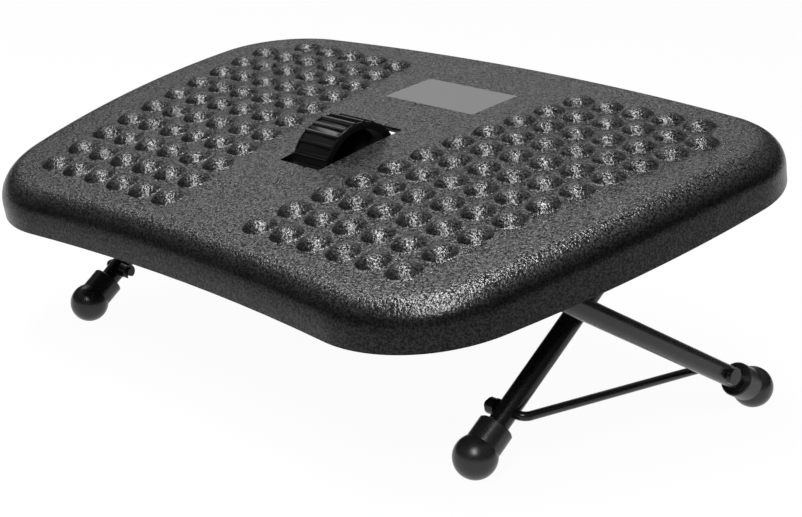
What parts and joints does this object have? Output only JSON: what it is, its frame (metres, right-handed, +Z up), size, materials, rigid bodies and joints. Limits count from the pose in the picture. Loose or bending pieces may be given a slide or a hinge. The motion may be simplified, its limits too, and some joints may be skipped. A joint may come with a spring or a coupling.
{
  "type": "footrest",
  "caption": "Tilting footrest: pebbled black platform with massage bumps and a recessed thumbwheel on crossed tube legs with ball feet.",
  "frame": {"origin": "centre of the bounding box's bottom face, on the floor under the footrest", "axes": "+X to the user's right along the platform's width, +Y away from the user towards the raised rear edge, +Z up"},
  "size_m": [0.454, 0.304, 0.1693],
  "materials": {
    "platform_plastic": "moulded black plastic with a fine pebbled grain",
    "panel_grey": "smooth mid grey plastic",
    "clip_plastic": "moulded black plastic",
    "washer_plastic": "natural off-white nylon",
    "wheel_plastic": "moulded glossy black plastic",
    "black_tube": "semi-gloss black powder coat",
    "black_rod": "satin black coated steel",
    "foot_rubber": "smooth semi-gloss black rubber",
    "zinc_steel": "zinc plated steel",
    "insert_brass": "plain turned brass"
  },
  "bodies": {
    "platform_body": {"platform": "platform_plastic", "label_panel": "panel_grey", "bar_clip_front_left": "clip_plastic", "bar_clip_front_right": "clip_plastic", "bar_clip_rear_left": "clip_plastic", "bar_clip_rear_right": "clip_plastic", "clip_screws": "zinc_steel", "thrust_washers": "washer_plastic"},
    "front_legs": {"front_leg_frame": "black_tube", "front_left_foot": "foot_rubber", "front_right_foot": "foot_rubber"},
    "rear_legs": {"rear_leg_frame": "black_tube", "rear_left_foot": "foot_rubber", "rear_right_foot": "foot_rubber", "brake_lug": "black_tube", "link_pin": "zinc_steel"},
    "left_stay": {"left_stay_rod": "black_rod", "left_stay_washer": "black_rod", "left_stay_clip": "black_rod", "left_stay_cap": "black_rod"},
    "right_stay": {"right_stay_rod": "black_rod", "right_stay_washer": "black_rod", "right_stay_clip": "black_rod", "right_stay_cap": "black_rod"},
    "wheel": {"tension_wheel": "wheel_plastic", "wheel_insert": "insert_brass"},
    "clamp": {"clamp_bolt": "zinc_steel", "friction_washer": "washer_plastic"},
    "brake": {"brake_strap": "zinc_steel"}
  },
  "joints": [
    {"name": "rear_leg_swing", "type": "hinge", "parent": "platform_body", "child": "rear_legs", "pos_m": [0, -0.07572, 0.10835], "axis": [1, 0, 0], "range_deg": [-4, 5]},
    {"name": "front_leg_swing", "type": "hinge", "parent": "platform_body", "child": "front_legs", "pos_m": [0, 0.07232, 0.14497], "axis": [1, 0, 0], "range_deg": [-2.75, 3.44]},
    {"name": "left_stay_pivot", "type": "hinge", "parent": "front_legs", "child": "left_stay", "pos_m": [-0.171, -0.05771, 0.03116], "axis": [1, 0, 0], "range_deg": [-4.17, 5.21]},
    {"name": "right_stay_pivot", "type": "hinge", "parent": "front_legs", "child": "right_stay", "pos_m": [0.171, -0.05771, 0.03116], "axis": [1, 0, 0], "range_deg": [-4.17, 5.21]},
    {"name": "brake_strap_pivot", "type": "hinge", "parent": "rear_legs", "child": "brake", "pos_m": [0.02245, -0.0714, 0.09088], "axis": [1, 0, 0], "range_deg": [-4.71, 3.77]},
    {"name": "wheel_turn", "type": "hinge", "parent": "platform_body", "child": "wheel", "pos_m": [0, -0.0182, 0.12361], "axis": [1, 0, 0], "range_deg": [0, 360]},
    {"name": "bolt_draw", "type": "slide", "parent": "platform_body", "child": "clamp", "axis": [1, 0, 0], "range_m": [0, 0.00126]}
  ],
  "couplings": [
    {"joint": "front_leg_swing", "follows": "rear_leg_swing", "ratio": 0.6675},
    {"joint": "left_stay_pivot", "follows": "rear_leg_swing", "ratio": 1.0112},
    {"joint": "right_stay_pivot", "follows": "rear_leg_swing", "ratio": 1.0112},
    {"joint": "brake_strap_pivot", "follows": "rear_leg_swing", "ratio": -0.915},
    {"joint": "bolt_draw", "follows": "wheel_turn", "m_per_rad": 0.00019894}
  ]
}
